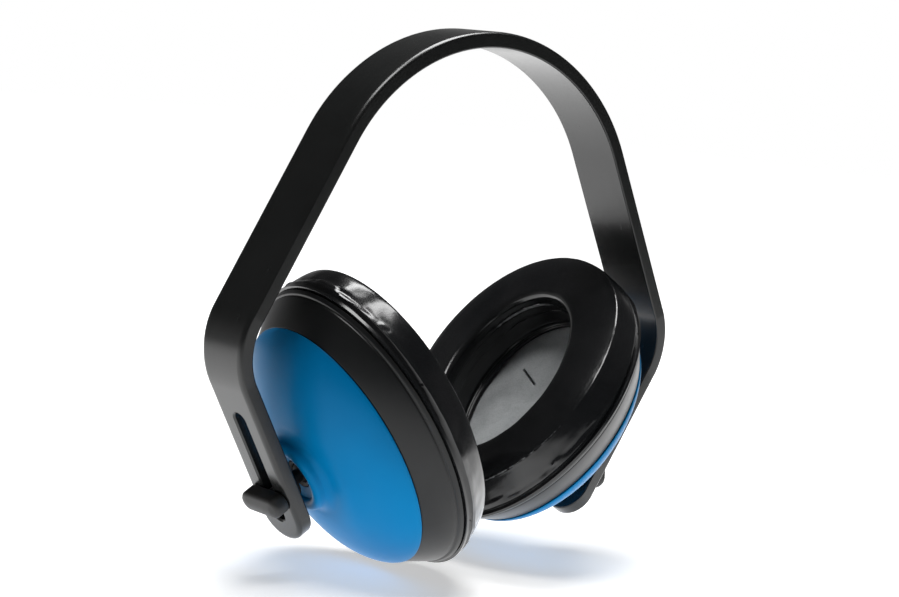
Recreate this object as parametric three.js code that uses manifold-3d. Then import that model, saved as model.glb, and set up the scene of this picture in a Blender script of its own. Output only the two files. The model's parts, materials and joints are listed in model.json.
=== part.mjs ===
// Earmuff hearing protector: a springy headband with two oval ear cups, each on a ball stud that slides in a slot.
// Millimetres, +Z up, X from the left cup to the right cup, Y across the band's width.
// The origin is under the top centre of the headband, where it rests on the head.
import * as THREE from "three";
import { mergeVertices } from "three/addons/utils/BufferGeometryUtils.js";
import Module from "manifold-3d";

const wasm = await Module();
wasm.setup();

// Gap between pieces that touch, turn or slide on each other, and how far a cutter runs past what it cuts
const clearance = 0.3;
const overrun = 2;

// The headband's outer face, from the top centre down one side to the tip of the arm
const band = {
  width: 20.2,
  lowerWidth: 17.6,
  thickness: 5.2,
  crownRadius: 74,
  shoulderRadius: 65.5,
  upperLength: 62.6,
  elbowRadius: 24.2,
  lowerLength: 57,
  bevelWidth: 1.8,
  bevelDepth: 1.2,
  innerRound: 0.6,
};
const bandAngles = { crown: 42.6, shoulder: 18.4, elbow: 61 };
const bandSteps = { crown: 12, shoulder: 6, elbow: 9, tip: 7 };

// The slot in each lower arm, and how far above its lower end each cup's stud is left
const slot = { width: 5, length: 40.5, tipWall: 7.5 };
const studHeights = { left: 6.7, right: 11.6 };

// The ball stud with its collar inside the arm, and the thumb bar outside, turned in degrees as it was left
const stud = { shankRadius: 2.2, spigotRadius: 1.6, collarRadius: 5.4, collarThickness: 2.4, ballRadius: 4 };
const knob = { length: 17.2, width: 7, height: 5.8, crownWall: 1.8, edgeRound: 1.7, crownDrop: 0.5 };
const knobAngles = { left: 2, right: -62 };

// The ball's socket: a belt round the ball and a cap behind it
const socket = { beltWall: 1.2, capRadius: 7.7, capWall: 1.7, slit: 1 };
const socketAngles = { beltFront: 57, beltBack: 125, seatFront: 60, capFront: 122 };

// The black base ring: a cone from the dome's edge out to the seam, with a shelf that carries the cushion
const ring = { radius: 51.7, coneWidth: 7.3, depth: 10.9, shelfWidth: 5.9, shelfThickness: 2.2, lipRound: 0.8 };

// The cup shell: a round boss with a recess on an oval dome, and the skirt that the base ring holds
const boss = { gap: 1.5, ballDepth: 5.9, height: 3.9, rimRadius: 10.4, rimRound: 2.1, baseRadius: 16.6 };
const shell = { domeHeight: 14.6, wall: 2.3, edgeStep: 1, hubWall: 2.4, lineWidth: 11.4 };
const domeShapeShares = { radial: 2.45, axial: 1.42 };

// How much longer than wide the oval is, on each side of the middle
const ovalStep = 5.6;

// The ear cushion: a plate, a foam ring and a vinyl cover with a crowned roll
const cushion = { overhang: 0.5, width: 18.2, height: 16, skin: 0.8, flangeWidth: 0.2, flangeThickness: 0.9 };
const roll = { outerWidth: 8.6, outerDepth: 7.6, innerWidth: 5, innerDepth: 4.4, waist: 0.8 };
const plate = { thickness: 1.6 };

// The foam liner in the bottom of the cup, with its slit
const liner = { gap: 0.8, thickness: 8, slitLength: 13, slitWidth: 1, slitDepth: 3, slitOffset: 6 };

// How each cup hangs when nobody wears it, in degrees: turned at the ball about Y, about the arm and about its own axis
const leftAngles = { tilt: 0.3, swing: 5.4, spin: -4 };
const rightAngles = { tilt: 7.2, swing: -10, spin: 25 };

const ovalSegments = 36;
const roundSegments = 20;

// Places along the stud's axis, counted inwards from the arm's outer face
const collarBack = band.thickness + clearance;
const collarFront = collarBack + stud.collarThickness;
const ballPlace = collarFront + boss.gap + boss.ballDepth;

// Places along the cup's axis, counted inwards from the ball's centre
const rimZ = -boss.ballDepth;
const apexZ = rimZ + boss.height;
const edgeZ = apexZ + shell.domeHeight;
const seamZ = edgeZ + clearance + ring.depth;
const cushionZ = seamZ + clearance;
const crownZ = cushionZ + cushion.height;

const beltInner = stud.ballRadius + clearance;
const beltOuter = beltInner + socket.beltWall;
const seatRadius = beltOuter + clearance;
const capBackZ = seatRadius + socket.capWall;
const capBore = socket.capRadius + clearance;

// Radii of the cup's pieces, worked out from the base ring's
const shellRadius = ring.radius - ring.coneWidth;
const skirtRadius = shellRadius - shell.edgeStep;
const ringBore = skirtRadius + clearance;
const shelfRadius = ringBore - ring.shelfWidth;
const linerRadius = skirtRadius - shell.wall - liner.gap;
const cushionRadius = ring.radius + cushion.overhang;
const holeRadius = cushionRadius - cushion.width;
const flangeRadius = cushionRadius + cushion.flangeWidth;

// Where the cup's round middle has turned fully into an oval
const lineRadius = shellRadius - shell.lineWidth;

const black = new THREE.MeshStandardMaterial({ color: 0x17181a, roughness: 0.45, metalness: 0 });
const blackMatte = new THREE.MeshStandardMaterial({ color: 0x1b1b1c, roughness: 0.75, metalness: 0 });
const vinyl = new THREE.MeshStandardMaterial({ color: 0x0f1113, roughness: 0.25, metalness: 0 });
const blue = new THREE.MeshStandardMaterial({ color: 0x0a5ea6, roughness: 0.3, metalness: 0 });
const natural = new THREE.MeshStandardMaterial({ color: 0xd9d6cc, roughness: 0.5, metalness: 0 });
const greyFoam = new THREE.MeshStandardMaterial({ color: 0x5c6163, roughness: 0.95, metalness: 0 });
const paleFoam = new THREE.MeshStandardMaterial({ color: 0xb9b6a6, roughness: 0.95, metalness: 0 });

const radians = THREE.MathUtils.degToRad;

// A geometry with shared vertices, no collapsed faces and nothing but positions and fresh normals
function tidy(geometry) {
  geometry.deleteAttribute("normal");
  geometry.deleteAttribute("uv");
  const merged = mergeVertices(geometry);
  const from = merged.index.array;
  const faces = [];
  for (let i = 0; i < from.length; i += 3) {
    const [a, b, c] = [from[i], from[i + 1], from[i + 2]];
    if (a !== b && b !== c && c !== a) faces.push(a, b, c);
  }
  merged.setIndex(faces);
  merged.computeVertexNormals();
  return merged;
}

function toSolid(geometry) {
  const clean = tidy(geometry);
  return new wasm.Manifold(
    new wasm.Mesh({
      numProp: 3,
      vertProperties: new Float32Array(clean.attributes.position.array),
      triVerts: new Uint32Array(clean.index.array),
    }),
  );
}

function toGeometry(solid) {
  const mesh = solid.getMesh();
  const geometry = new THREE.BufferGeometry();
  geometry.setAttribute("position", new THREE.BufferAttribute(mesh.vertProperties, 3));
  geometry.setIndex(new THREE.BufferAttribute(mesh.triVerts, 1));
  return tidy(geometry);
}

// Points [r, z] on an ellipse, from one angle to another in degrees; 0 points outwards and 90 towards +z
function arc(centreR, centreZ, radiusR, radiusZ, from, to, steps) {
  const points = [];
  for (let i = 0; i <= steps; i++) {
    const angle = radians(from + ((to - from) * i) / steps);
    points.push([centreR + radiusR * Math.cos(angle), centreZ + radiusZ * Math.sin(angle)]);
  }
  return points;
}

// Points [r, z] on a sphere round the ball's centre; the angle is counted from the outward side of the axis
function ballArc(radius, from, to, steps) {
  return arc(0, 0, radius, radius, from - 90, to - 90, steps);
}

// Turns a closed profile of [r, z] points round the Z axis
function turned(profile, segments) {
  const points = profile.map(([r, z]) => new THREE.Vector2(r, z));
  if (THREE.ShapeUtils.area(points) < 0) points.reverse();
  points.push(points[0].clone());
  return tidy(new THREE.LatheGeometry(points, segments).rotateX(radians(90)));
}

// Draws a turned shape in along X or Y: not at all inside one radius, and by the full step from another radius on
function drawnIn(geometry, axis, step, fromRadius, toRadius) {
  const position = geometry.attributes.position;
  for (let i = 0; i < position.count; i++) {
    const r = Math.hypot(position.getX(i), position.getY(i));
    const kept = r - step * THREE.MathUtils.smoothstep(r, fromRadius, toRadius);
    if (r > 0) position.setComponent(i, axis, (position.getComponent(i, axis) * kept) / r);
  }
  return tidy(geometry);
}

// The cup's pieces are round at the boss and oval further out
function turnedOval(profile) {
  return drawnIn(turned(profile, ovalSegments), 1, ovalStep, boss.baseRadius, lineRadius);
}

function named(name, geometry, material) {
  const mesh = new THREE.Mesh(geometry, material);
  mesh.name = name;
  return mesh;
}

// Stations down the right side of the band's outer face: place, heading and the share of the way to the lower width
function bandStations() {
  const stations = [{ x: 0, z: band.thickness, heading: 0, lowerShare: 0 }];
  const last = () => stations[stations.length - 1];
  const bend = (radius, turn, steps, narrows) => {
    const start = last();
    const centreX = start.x - radius * Math.sin(start.heading);
    const centreZ = start.z - radius * Math.cos(start.heading);
    for (let i = 1; i <= steps; i++) {
      const heading = start.heading + (radians(turn) * i) / steps;
      stations.push({
        x: centreX + radius * Math.sin(heading),
        z: centreZ + radius * Math.cos(heading),
        heading,
        lowerShare: narrows ? i / steps : start.lowerShare,
      });
    }
  };
  const run = (length) => {
    const { x, z, heading, lowerShare } = last();
    stations.push({ x: x + length * Math.cos(heading), z: z - length * Math.sin(heading), heading, lowerShare });
  };
  bend(band.crownRadius, bandAngles.crown, bandSteps.crown, false);
  bend(band.shoulderRadius, bandAngles.shoulder, bandSteps.shoulder, false);
  run(band.upperLength);
  bend(band.elbowRadius, bandAngles.elbow, bandSteps.elbow, true);
  run(band.lowerLength - band.lowerWidth / 2);
  return stations;
}

const stations = bandStations();
const armEnd = stations[stations.length - 1];
const armAngle = armEnd.heading - radians(180);

// Half of the band's cross-section as [inset from the side, depth below the outer face]
const bandSection = [
  [band.bevelWidth, 0],
  [band.bevelWidth / 3, band.bevelDepth / 3],
  [0, band.bevelDepth],
  [0, band.thickness - band.innerRound],
  [band.innerRound, band.thickness],
];

// One ring of the band: the section laid across a station, with its sides swept round the tip by an angle
function bandRing({ x, z, heading, lowerShare }, tipAngle) {
  const half = THREE.MathUtils.lerp(band.width, band.lowerWidth, lowerShare) / 2;
  const side = (sign) => ([inset, depth]) => {
    const along = (half - inset) * Math.sin(tipAngle);
    const across = sign * (half - inset) * Math.cos(tipAngle);
    return [
      x + along * Math.cos(heading) - depth * Math.sin(heading),
      across,
      z - along * Math.sin(heading) - depth * Math.cos(heading),
    ];
  };
  return [...bandSection.map(side(-1)), ...[...bandSection].reverse().map(side(1))];
}

function headbandSolid() {
  const right = stations.map((station) => bandRing(station, 0));
  for (let i = 1; i <= bandSteps.tip; i++) right.push(bandRing(armEnd, (radians(90) * i) / bandSteps.tip));
  const left = right.slice(1).reverse().map((points) => points.map(([x, y, z]) => [-x, y, z]));
  const rings = [...left, ...right];
  const count = rings[0].length;
  const faces = [];
  for (let i = 0; i + 1 < rings.length; i++) {
    for (let j = 0; j < count; j++) {
      const [a, b] = [i * count + j, i * count + ((j + 1) % count)];
      faces.push(a, b, a + count, b, b + count, a + count);
    }
  }
  const geometry = new THREE.BufferGeometry();
  geometry.setAttribute("position", new THREE.Float32BufferAttribute(rings.flat(2), 3));
  geometry.setIndex(faces);
  return toSolid(geometry);
}

// The stud's place on the arm: its distance from the centre of the round tip, up the arm
const slotBottom = slot.tipWall + slot.width / 2 - band.lowerWidth / 2;
const slotTop = slotBottom + slot.length - slot.width;

// A cutter for the slot, in the frame of the arm's round tip: X up the arm, Z inwards from the outer face
function slotCutter() {
  const shape = new THREE.Shape();
  const half = slot.width / 2;
  shape.absarc(slotTop, 0, half, radians(-90), radians(90), false);
  shape.absarc(slotBottom, 0, half, radians(90), radians(270), false);
  const depth = band.thickness + 2 * overrun;
  const geometry = new THREE.ExtrudeGeometry(shape, { depth, bevelEnabled: false, curveSegments: roundSegments / 2 });
  return geometry.translate(0, 0, -overrun);
}

// A group on the arm's outer face, some way up from the round tip: X up the arm, Y as the world's, Z inwards
function armFrame(up) {
  const frame = new THREE.Group();
  frame.position.set(armEnd.x - up * Math.cos(armEnd.heading), 0, armEnd.z + up * Math.sin(armEnd.heading));
  frame.rotation.y = armAngle;
  return frame;
}

function headband() {
  const frame = armFrame(0);
  frame.updateMatrix();
  const cutter = slotCutter().applyMatrix4(frame.matrix);
  const right = toSolid(cutter);
  const left = right.mirror([1, 0, 0]);
  return named("headband", toGeometry(headbandSolid().subtract(right).subtract(left)), black);
}

// The thumb bar is the hull of two turned ends, with a blind bore for the stud's spigot
function knobGeometry(angle) {
  const half = knob.width / 2;
  const top = -clearance - knob.height;
  const shoulder = top + knob.crownDrop + knob.edgeRound;
  const end = turned(
    [
      [0, -clearance],
      [half, -clearance],
      ...arc(half - knob.edgeRound, shoulder, knob.edgeRound, knob.edgeRound, 0, -75, 4),
      [0, top],
    ],
    roundSegments,
  );
  const reach = knob.length / 2 - half;
  const solid = toSolid(end);
  const bar = wasm.Manifold.hull([solid.translate([0, reach, 0]), solid.translate([0, -reach, 0])]);
  const depth = knob.height - knob.crownWall + overrun;
  const bore = new THREE.CylinderGeometry(stud.spigotRadius + clearance, stud.spigotRadius + clearance, depth, roundSegments);
  bore.rotateX(radians(90)).translate(0, 0, overrun - clearance - depth / 2);
  return toGeometry(bar.subtract(toSolid(bore))).rotateZ(radians(angle));
}

function studGeometry() {
  const tip = -knob.height + knob.crownWall;
  const neckZ = ballPlace - Math.sqrt(stud.ballRadius ** 2 - stud.shankRadius ** 2);
  const neckAngle = THREE.MathUtils.radToDeg(Math.asin(stud.shankRadius / stud.ballRadius));
  const ball = ballArc(stud.ballRadius, neckAngle, 180, 7).map(([r, z]) => [r, z + ballPlace]);
  return turned(
    [
      [0, tip],
      [stud.spigotRadius, tip],
      [stud.spigotRadius, 0],
      [stud.shankRadius, 0],
      [stud.shankRadius, collarBack],
      [stud.collarRadius, collarBack],
      [stud.collarRadius, collarFront],
      [stud.shankRadius, collarFront],
      [stud.shankRadius, neckZ],
      ...ball.slice(1, -1),
      [0, ballPlace + stud.ballRadius],
    ],
    roundSegments,
  );
}

// The belt round the ball is split so that the ball can be pressed into it
function beltGeometry() {
  const outer = ballArc(beltOuter, socketAngles.beltFront, socketAngles.beltBack, 6);
  const inner = ballArc(beltInner, socketAngles.beltBack, socketAngles.beltFront, 6);
  const depth = 2 * (beltOuter + overrun);
  const reach = beltOuter + overrun;
  const slit = new THREE.BoxGeometry(reach, socket.slit, depth).translate(reach / 2, 0, 0);
  return toGeometry(toSolid(turned([...outer, ...inner], roundSegments)).subtract(toSolid(slit)));
}

// The cap closes the hub behind the ball; its hollow face is round the ball's centre
function capGeometry() {
  const hollow = ballArc(seatRadius, 180, socketAngles.capFront, 4);
  const frontZ = hollow[hollow.length - 1][1];
  return turned(
    [[0, seatRadius], ...hollow.slice(1), [socket.capRadius, frontZ], [socket.capRadius, capBackZ], [0, capBackZ]],
    roundSegments,
  );
}

// The dome's outer or inner face from the boss to the edge
function domeCurve(radius, height, fromRadius, steps) {
  const points = [];
  for (let i = 0; i <= steps; i++) {
    const r = radius * Math.sin(THREE.MathUtils.lerp(Math.asin(fromRadius / radius), radians(90), i / steps));
    const drop = (1 - (r / radius) ** domeShapeShares.radial) ** (1 / domeShapeShares.axial);
    points.push([r, edgeZ - height * drop]);
  }
  return points;
}

function shellGeometry() {
  const seat = ballArc(seatRadius, socketAngles.seatFront, 90, 3);
  const rimInner = boss.rimRadius - boss.rimRound;
  const rim = arc(boss.rimRadius, rimZ + boss.rimRound, boss.rimRound, boss.rimRound, -180, -10, 5);
  const dome = domeCurve(shellRadius, shell.domeHeight, boss.baseRadius, 8);
  const [baseR, baseZ] = dome[0];
  const flankR = boss.rimRadius + boss.rimRound;
  const flankZ = rimZ + boss.rimRound;
  const flank = arc(baseR, flankZ, flankR - baseR, baseZ - flankZ, 15, 75, 2);
  const inside = domeCurve(skirtRadius - shell.wall, shell.domeHeight - shell.wall, capBore + shell.hubWall, 5);
  const capFrontZ = seatRadius * Math.sin(radians(socketAngles.capFront - 90)) - clearance;
  const hubEnd = capBackZ + clearance;
  const skirtEnd = seamZ - ring.shelfThickness - clearance;
  return turnedOval([
    ...seat.reverse(),
    [rimInner, rimZ + boss.rimRound],
    ...rim.slice(1),
    ...flank,
    ...dome,
    [skirtRadius, edgeZ],
    [skirtRadius, skirtEnd],
    [skirtRadius - shell.wall, skirtEnd],
    ...inside.reverse(),
    [capBore + shell.hubWall, hubEnd],
    [capBore, hubEnd],
    [capBore, capFrontZ],
    [seatRadius, capFrontZ],
  ]);
}

function baseRingGeometry() {
  const top = edgeZ + clearance;
  return turnedOval([
    [ringBore, top],
    [shellRadius, top],
    [ring.radius, seamZ - ring.lipRound],
    [ring.radius - ring.lipRound, seamZ],
    [shelfRadius, seamZ],
    [shelfRadius, seamZ - ring.shelfThickness],
    [ringBore, seamZ - ring.shelfThickness],
  ]);
}

// The face of the ear cushion from its outer back edge over the crown to the hole, set in by a distance
function rollFace(inset, outerSteps, innerSteps) {
  const outerR = cushionRadius - roll.outerWidth;
  const innerR = holeRadius + roll.innerWidth;
  const outerZ = crownZ - roll.outerDepth;
  const innerZ = crownZ - roll.innerDepth;
  const waistZ = (cushionZ + outerZ) / 2;
  return [
    [cushionRadius - roll.waist - inset, waistZ],
    ...arc(outerR, outerZ, roll.outerWidth - inset, roll.outerDepth - inset, 0, 90, outerSteps),
    ...arc(innerR, innerZ, roll.innerWidth - inset, roll.innerDepth - inset, 90, 180, innerSteps),
  ];
}

const plateOuter = cushionRadius - roll.waist - cushion.skin - clearance;
const plateInner = holeRadius + cushion.skin + clearance;

function plateGeometry() {
  return turnedOval([
    [plateInner, cushionZ],
    [plateOuter, cushionZ],
    [plateOuter, cushionZ + plate.thickness],
    [plateInner, cushionZ + plate.thickness],
  ]);
}

function foamGeometry() {
  const inset = cushion.skin + clearance;
  const back = cushionZ + plate.thickness + clearance;
  return turnedOval([[plateInner, back], [plateOuter, back], ...rollFace(inset, 4, 3)]);
}

// The vinyl cover is a channel, open at the back, with a welded flange round its outer edge
function coverGeometry() {
  const flangeTop = cushionZ + cushion.flangeThickness;
  const lip = cushionRadius - roll.waist;
  return turnedOval([
    [lip - cushion.skin, cushionZ],
    [flangeRadius, cushionZ],
    [flangeRadius, flangeTop],
    [lip, flangeTop + cushion.flangeThickness],
    ...rollFace(0, 5, 4),
    [holeRadius, cushionZ],
    [holeRadius + cushion.skin, cushionZ],
    ...rollFace(cushion.skin, 5, 4).reverse(),
  ]);
}

function linerGeometry() {
  const top = seamZ - ring.shelfThickness - clearance;
  const disc = toSolid(
    turnedOval([
      [0, top - liner.thickness],
      [linerRadius, top - liner.thickness],
      [linerRadius, top],
      [0, top],
    ]),
  );
  const depth = liner.slitDepth + overrun;
  const slit = new THREE.BoxGeometry(liner.slitLength, liner.slitWidth, depth);
  slit.translate(liner.slitOffset, 0, top + overrun - depth / 2);
  return toGeometry(disc.subtract(toSolid(slit)));
}

// One side: the stud's pieces on the arm, and inside the ball's three turns the socket and the cup
function side(name, angles, studHeight, knobAngle) {
  const arm = armFrame(slotBottom + studHeight);
  arm.add(named(name + "_knob", knobGeometry(knobAngle), blackMatte));
  arm.add(named(name + "_ball_stud", studGeometry(), blackMatte));
  const tilt = new THREE.Group();
  tilt.position.z = ballPlace;
  tilt.rotation.y = radians(angles.tilt);
  tilt.add(named(name + "_socket_belt", beltGeometry(), natural));
  const swing = new THREE.Group();
  swing.rotation.x = radians(angles.swing);
  swing.add(named(name + "_socket_cap", capGeometry(), natural));
  const cup = new THREE.Group();
  cup.rotation.z = radians(angles.spin);
  cup.add(named(name + "_cup_shell", shellGeometry(), blue));
  cup.add(named(name + "_base_ring", baseRingGeometry(), black));
  cup.add(named(name + "_foam_liner", linerGeometry(), greyFoam));
  cup.add(named(name + "_cushion_plate", plateGeometry(), black));
  cup.add(named(name + "_cushion_foam", foamGeometry(), paleFoam));
  cup.add(named(name + "_cushion_cover", coverGeometry(), vinyl));
  swing.add(cup);
  tilt.add(swing);
  arm.add(tilt);
  return arm;
}

const earmuff = new THREE.Group();
earmuff.add(headband());
earmuff.add(side("right", rightAngles, studHeights.right, knobAngles.right));
const leftSide = new THREE.Group();
leftSide.scale.x = -1;
leftSide.add(side("left", leftAngles, studHeights.left, knobAngles.left));
earmuff.add(leftSide);

export default earmuff;
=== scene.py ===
import json
import math

import bmesh
import bpy
from mathutils import Matrix, Vector, noise


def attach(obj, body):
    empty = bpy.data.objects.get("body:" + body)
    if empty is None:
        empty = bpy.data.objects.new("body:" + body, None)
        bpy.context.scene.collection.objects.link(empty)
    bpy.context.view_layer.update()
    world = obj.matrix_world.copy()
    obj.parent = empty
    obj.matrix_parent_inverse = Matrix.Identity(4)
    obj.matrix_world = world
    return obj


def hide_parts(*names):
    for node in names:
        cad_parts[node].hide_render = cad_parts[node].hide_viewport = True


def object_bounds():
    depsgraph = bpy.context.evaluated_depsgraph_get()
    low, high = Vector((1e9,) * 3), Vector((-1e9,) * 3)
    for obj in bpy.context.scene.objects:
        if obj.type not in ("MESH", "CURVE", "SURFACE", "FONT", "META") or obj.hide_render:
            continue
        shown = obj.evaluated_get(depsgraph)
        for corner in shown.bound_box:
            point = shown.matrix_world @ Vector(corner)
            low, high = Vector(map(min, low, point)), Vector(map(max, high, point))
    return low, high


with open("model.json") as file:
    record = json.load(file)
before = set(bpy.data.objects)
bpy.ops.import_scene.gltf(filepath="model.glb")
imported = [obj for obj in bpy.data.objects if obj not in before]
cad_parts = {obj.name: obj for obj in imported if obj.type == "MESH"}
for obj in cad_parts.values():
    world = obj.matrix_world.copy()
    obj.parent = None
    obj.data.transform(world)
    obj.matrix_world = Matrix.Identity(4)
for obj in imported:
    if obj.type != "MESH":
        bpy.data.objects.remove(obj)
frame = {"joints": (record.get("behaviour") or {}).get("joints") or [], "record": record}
cad_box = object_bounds()

mm = 0.001
clearance = 0.3 * mm
corner_round = 0.3 * mm
cut_over = 2 * mm
weld_distance = 0.002 * mm
sliver_length = 0.001 * mm

# Headband
band_width = 20.2 * mm
band_lower_width = 17.6 * mm
band_thickness = 5.2 * mm
crown_radius = 74 * mm
shoulder_radius = 65.5 * mm
upper_length = 62.6 * mm
elbow_radius = 24.2 * mm
lower_length = 57 * mm
crown_turn, shoulder_turn, elbow_turn = 42.6, 18.4, 61
bevel_width = 1.8 * mm
bevel_depth = 1.2 * mm
inner_round = 0.6 * mm
slot_width = 5 * mm
slot_length = 40.5 * mm
slot_tip_wall = 7.5 * mm
slot_fillet = 0.55 * mm

# Stud and knob
shank_radius = 2.2 * mm
spigot_radius = 1.6 * mm
collar_radius = 5.4 * mm
collar_thickness = 2.4 * mm
ball_radius = 4 * mm
knob_length = 17.2 * mm
knob_width = 7 * mm
knob_height = 5.8 * mm
knob_wall = 1.8 * mm
knob_round = 1.7 * mm
knob_drop = 0.5 * mm
knob_edge = 0.5 * mm
knob_crown = 0.08 * mm
stud_round = 0.4 * mm
knob_angles = {"left": 2, "right": -62}

# Socket
belt_wall = 1.2 * mm
cap_radius = 7.7 * mm
cap_wall = 1.7 * mm
belt_slit = 1 * mm
belt_front, belt_back, seat_front, cap_front = 57, 125, 60, 122

# Cup
boss_gap = 1.5 * mm
ball_depth = 5.9 * mm
boss_height = 3.9 * mm
rim_radius = 10.4 * mm
rim_round = 2.1 * mm
boss_base = 16.6 * mm
shell_radius = 44.4 * mm
dome_height = 14.6 * mm
shell_wall = 2.3 * mm
edge_step = 1 * mm
dome_lip = 0.5 * mm
hub_wall = 2.4 * mm
line_radius = 33 * mm
dome_radial, dome_power = 2.45, 1.42
oval_step = 5.6 * mm

# Base ring
ring_radius = 51.7 * mm
ring_depth = 10.9 * mm
shelf_radius = 37.8 * mm
shelf_thickness = 2.2 * mm
bead_width = 2.1 * mm
bead_groove = 0.35 * mm
bead_lift = 0.12 * mm
bead_foot_lift = 0.05 * mm
cone_edge = 0.3 * mm
cone_edge_height = 0.35 * mm
seam_edge = 0.8 * mm
seam_round = (0.15 * mm, 0.25 * mm)

# Ear cushion and liner: the face falls to an outer crease, and a tight lip
# rolls down to a crease inside the hole. The foam leans and bulges more on one side.
cushion_radius = 52.2 * mm
hole_radius = 34 * mm
cushion_height = 16 * mm
skin = 0.8 * mm
flange_radius = 52.4 * mm
flange_thickness = 0.9 * mm
crease_radius = 48.8 * mm
crease_drop = 4.2 * mm
crest_radius = 35.8 * mm
lip_width = 2.6 * mm
lip_drop = 2.4 * mm
inner_crease_radius = 33 * mm
inner_crease_drop = 5.2 * mm
bulge_z = 2.8 * mm
hem_length = 2.2 * mm
hem_start = 2 * mm
hem_tuck = 0.5 * mm
hem_step = 0.2 * mm
ridge_height = 0.2 * mm
ridge_widths = (0.34 * mm, 0.14 * mm)
weld_lip = 0.4 * mm
bead_height = 0.22 * mm
bead_reach = 0.45 * mm
waist = 0.8 * mm
waist_height = 2.2 * mm
inner_crease_step = (0.5 * mm, 0.8 * mm)
still_height = 1.5 * mm
lean_depth = 5 * mm
fold_depth = 0.28 * mm
swell_height = 0.35 * mm
face_power, side_power = 1.5, 1.15
lean_angles = {"left": 5, "right": 32}
lean_rises = {"left": 1.7 * mm, "right": 4.5 * mm}
bulge_angles = {"left": -30, "right": -5}
bulge_pushes = {"left": 2.3 * mm, "right": 2.8 * mm}
bulge_powers = {"left": 8, "right": 1}
bead_shares = {"left": 0.6, "right": 1.5}
bead_step = 0.35 * mm
bead_turns, slow_bead_turns = 21, 7
bead_fade = 0.85
fold_turns, fold_pitch = 8, 150
swell_turns = 3.2
crease_softness = 1.6 * mm
pucker_seeds = {"left": 1.0, "right": 5.0}
cover_turns = 300
cover_step = 1.1 * mm
cloth_frames = 20
most_move = 0.3 * mm
plate_thickness = 1.6 * mm
liner_thickness = 8 * mm
liner_radius = 40.3 * mm
liner_edge = 0.6 * mm
liner_dip = 0.15 * mm
liner_sink = 0.4 * mm
liner_lumps = 0.5 * mm
liner_grain = 0.12 * mm
slit_length = 13 * mm
slit_width = 1 * mm
slit_depth = 3 * mm
slit_place = (14.2 * mm, 5.4 * mm)
slit_turn = 37

# Places along the stud's axis, counted inwards from the arm's outer face
collar_back = band_thickness + clearance
collar_front = collar_back + collar_thickness
ball_place = collar_front + boss_gap + ball_depth

# Places along the cup's axis, counted inwards from the ball's centre
rim_z = -ball_depth
apex_z = rim_z + boss_height
edge_z = apex_z + dome_height
seam_z = edge_z + clearance + ring_depth
cushion_z = seam_z + clearance
crown_z = cushion_z + cushion_height

belt_inner = ball_radius + clearance
belt_outer = belt_inner + belt_wall
seat_radius = belt_outer + clearance
cap_back_z = seat_radius + cap_wall
cap_bore = cap_radius + clearance
skirt_radius = shell_radius - edge_step
liner_top = seam_z - shelf_thickness - clearance

oval_turns = 160
round_turns = 64

# Light and camera
floor_gap = 3 * mm
floor_half = 4.0
floor_glow = 0.5
floor_fade = (0.25, 0.7)
mirrored_glow = 1.2
mirrored_fade = (0.3, 1.6)
mirrored_far = 0.15
bright_side = (0.25, 0.97, 0.0)
floor_sides = (-0.25, 0.0, 0.03, 1.0)
horizon_heights = (0.02, 0.42)
horizon_sides = (-0.4, 0.6, 0.04, 1.0)
horizon_level = 0.3
table_place = (0.02, -0.2)
table_size = (0.5, 0.5)
table_power = 1.0
mirrored_horizon = 0.3
dim_level = 0.05
overhead_place = (0.27, 0.17, 0.75)
overhead_size = (0.5, 0.45)
overhead_power = 8
left_place = (-0.2, -0.02, 0.72)
left_size = (0.4, 0.3)
left_power = 4
view_azimuth, view_elevation, view_roll = (math.radians(angle) for angle in (44.41, 5.79, 5.76))
camera_place = Vector((-525.1, -532.6, -6.8)) * mm
focal_length = 91.93


# Frames of each side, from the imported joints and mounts
joints = {joint["name"]: joint for joint in frame["joints"]}
mounts = {mount["name"]: mount for mount in frame["record"]["mounts"]}


def axes_matrix(x, z, place):
    x = x.normalized()
    z = z.normalized()
    x = (x - z * x.dot(z)).normalized()
    y = z.cross(x)
    return Matrix(
        (
            (x.x, y.x, z.x, place.x),
            (x.y, y.y, z.y, place.y),
            (x.z, y.z, z.z, place.z),
            (0, 0, 0, 1),
        )
    )


def cup_frame(side):
    spin = joints[side + "_spin"]
    ball = Vector(spin["pos_m"])
    face = Vector(mounts[side + "_cushion_face"]["pos_m"])
    return axes_matrix(face - ball, Vector(spin["axis"]), ball)


def arm_frame(side):
    """On the arm's outer face at the stud: X up the arm, Z inwards."""
    up = -Vector(joints[side + "_slide"]["axis"])
    across = Vector((0, 1, 0)) if side == "right" else Vector((0, -1, 0))
    inward = up.cross(across).normalized()
    ball = Vector(joints[side + "_spin"]["pos_m"])
    return axes_matrix(up, inward, ball - inward * ball_place)


# Mesh helpers
def new_object(name, verts, faces, sharp_angle=32):
    mesh = bpy.data.meshes.new(name)
    mesh.from_pydata([tuple(v) for v in verts], [], faces)
    obj = bpy.data.objects.new(name, mesh)
    bpy.context.scene.collection.objects.link(obj)
    clean_mesh(obj, sharp_angle)
    return obj


def clean_mesh(obj, sharp_angle=32):
    bm = bmesh.new()
    bm.from_mesh(obj.data)
    bmesh.ops.remove_doubles(bm, verts=bm.verts, dist=weld_distance)
    bmesh.ops.dissolve_degenerate(bm, edges=bm.edges, dist=sliver_length)
    bmesh.ops.recalc_face_normals(bm, faces=bm.faces)
    bm.to_mesh(obj.data)
    bm.free()
    smooth(obj, sharp_angle)


def smooth(obj, sharp_angle=32):
    obj.data.shade_smooth()
    obj.data.set_sharp_from_angle(angle=math.radians(sharp_angle))


def apply_modifiers(obj):
    graph = bpy.context.evaluated_depsgraph_get()
    mesh = bpy.data.meshes.new_from_object(obj.evaluated_get(graph))
    old = obj.data
    obj.modifiers.clear()
    obj.data = mesh
    bpy.data.meshes.remove(old)


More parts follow.
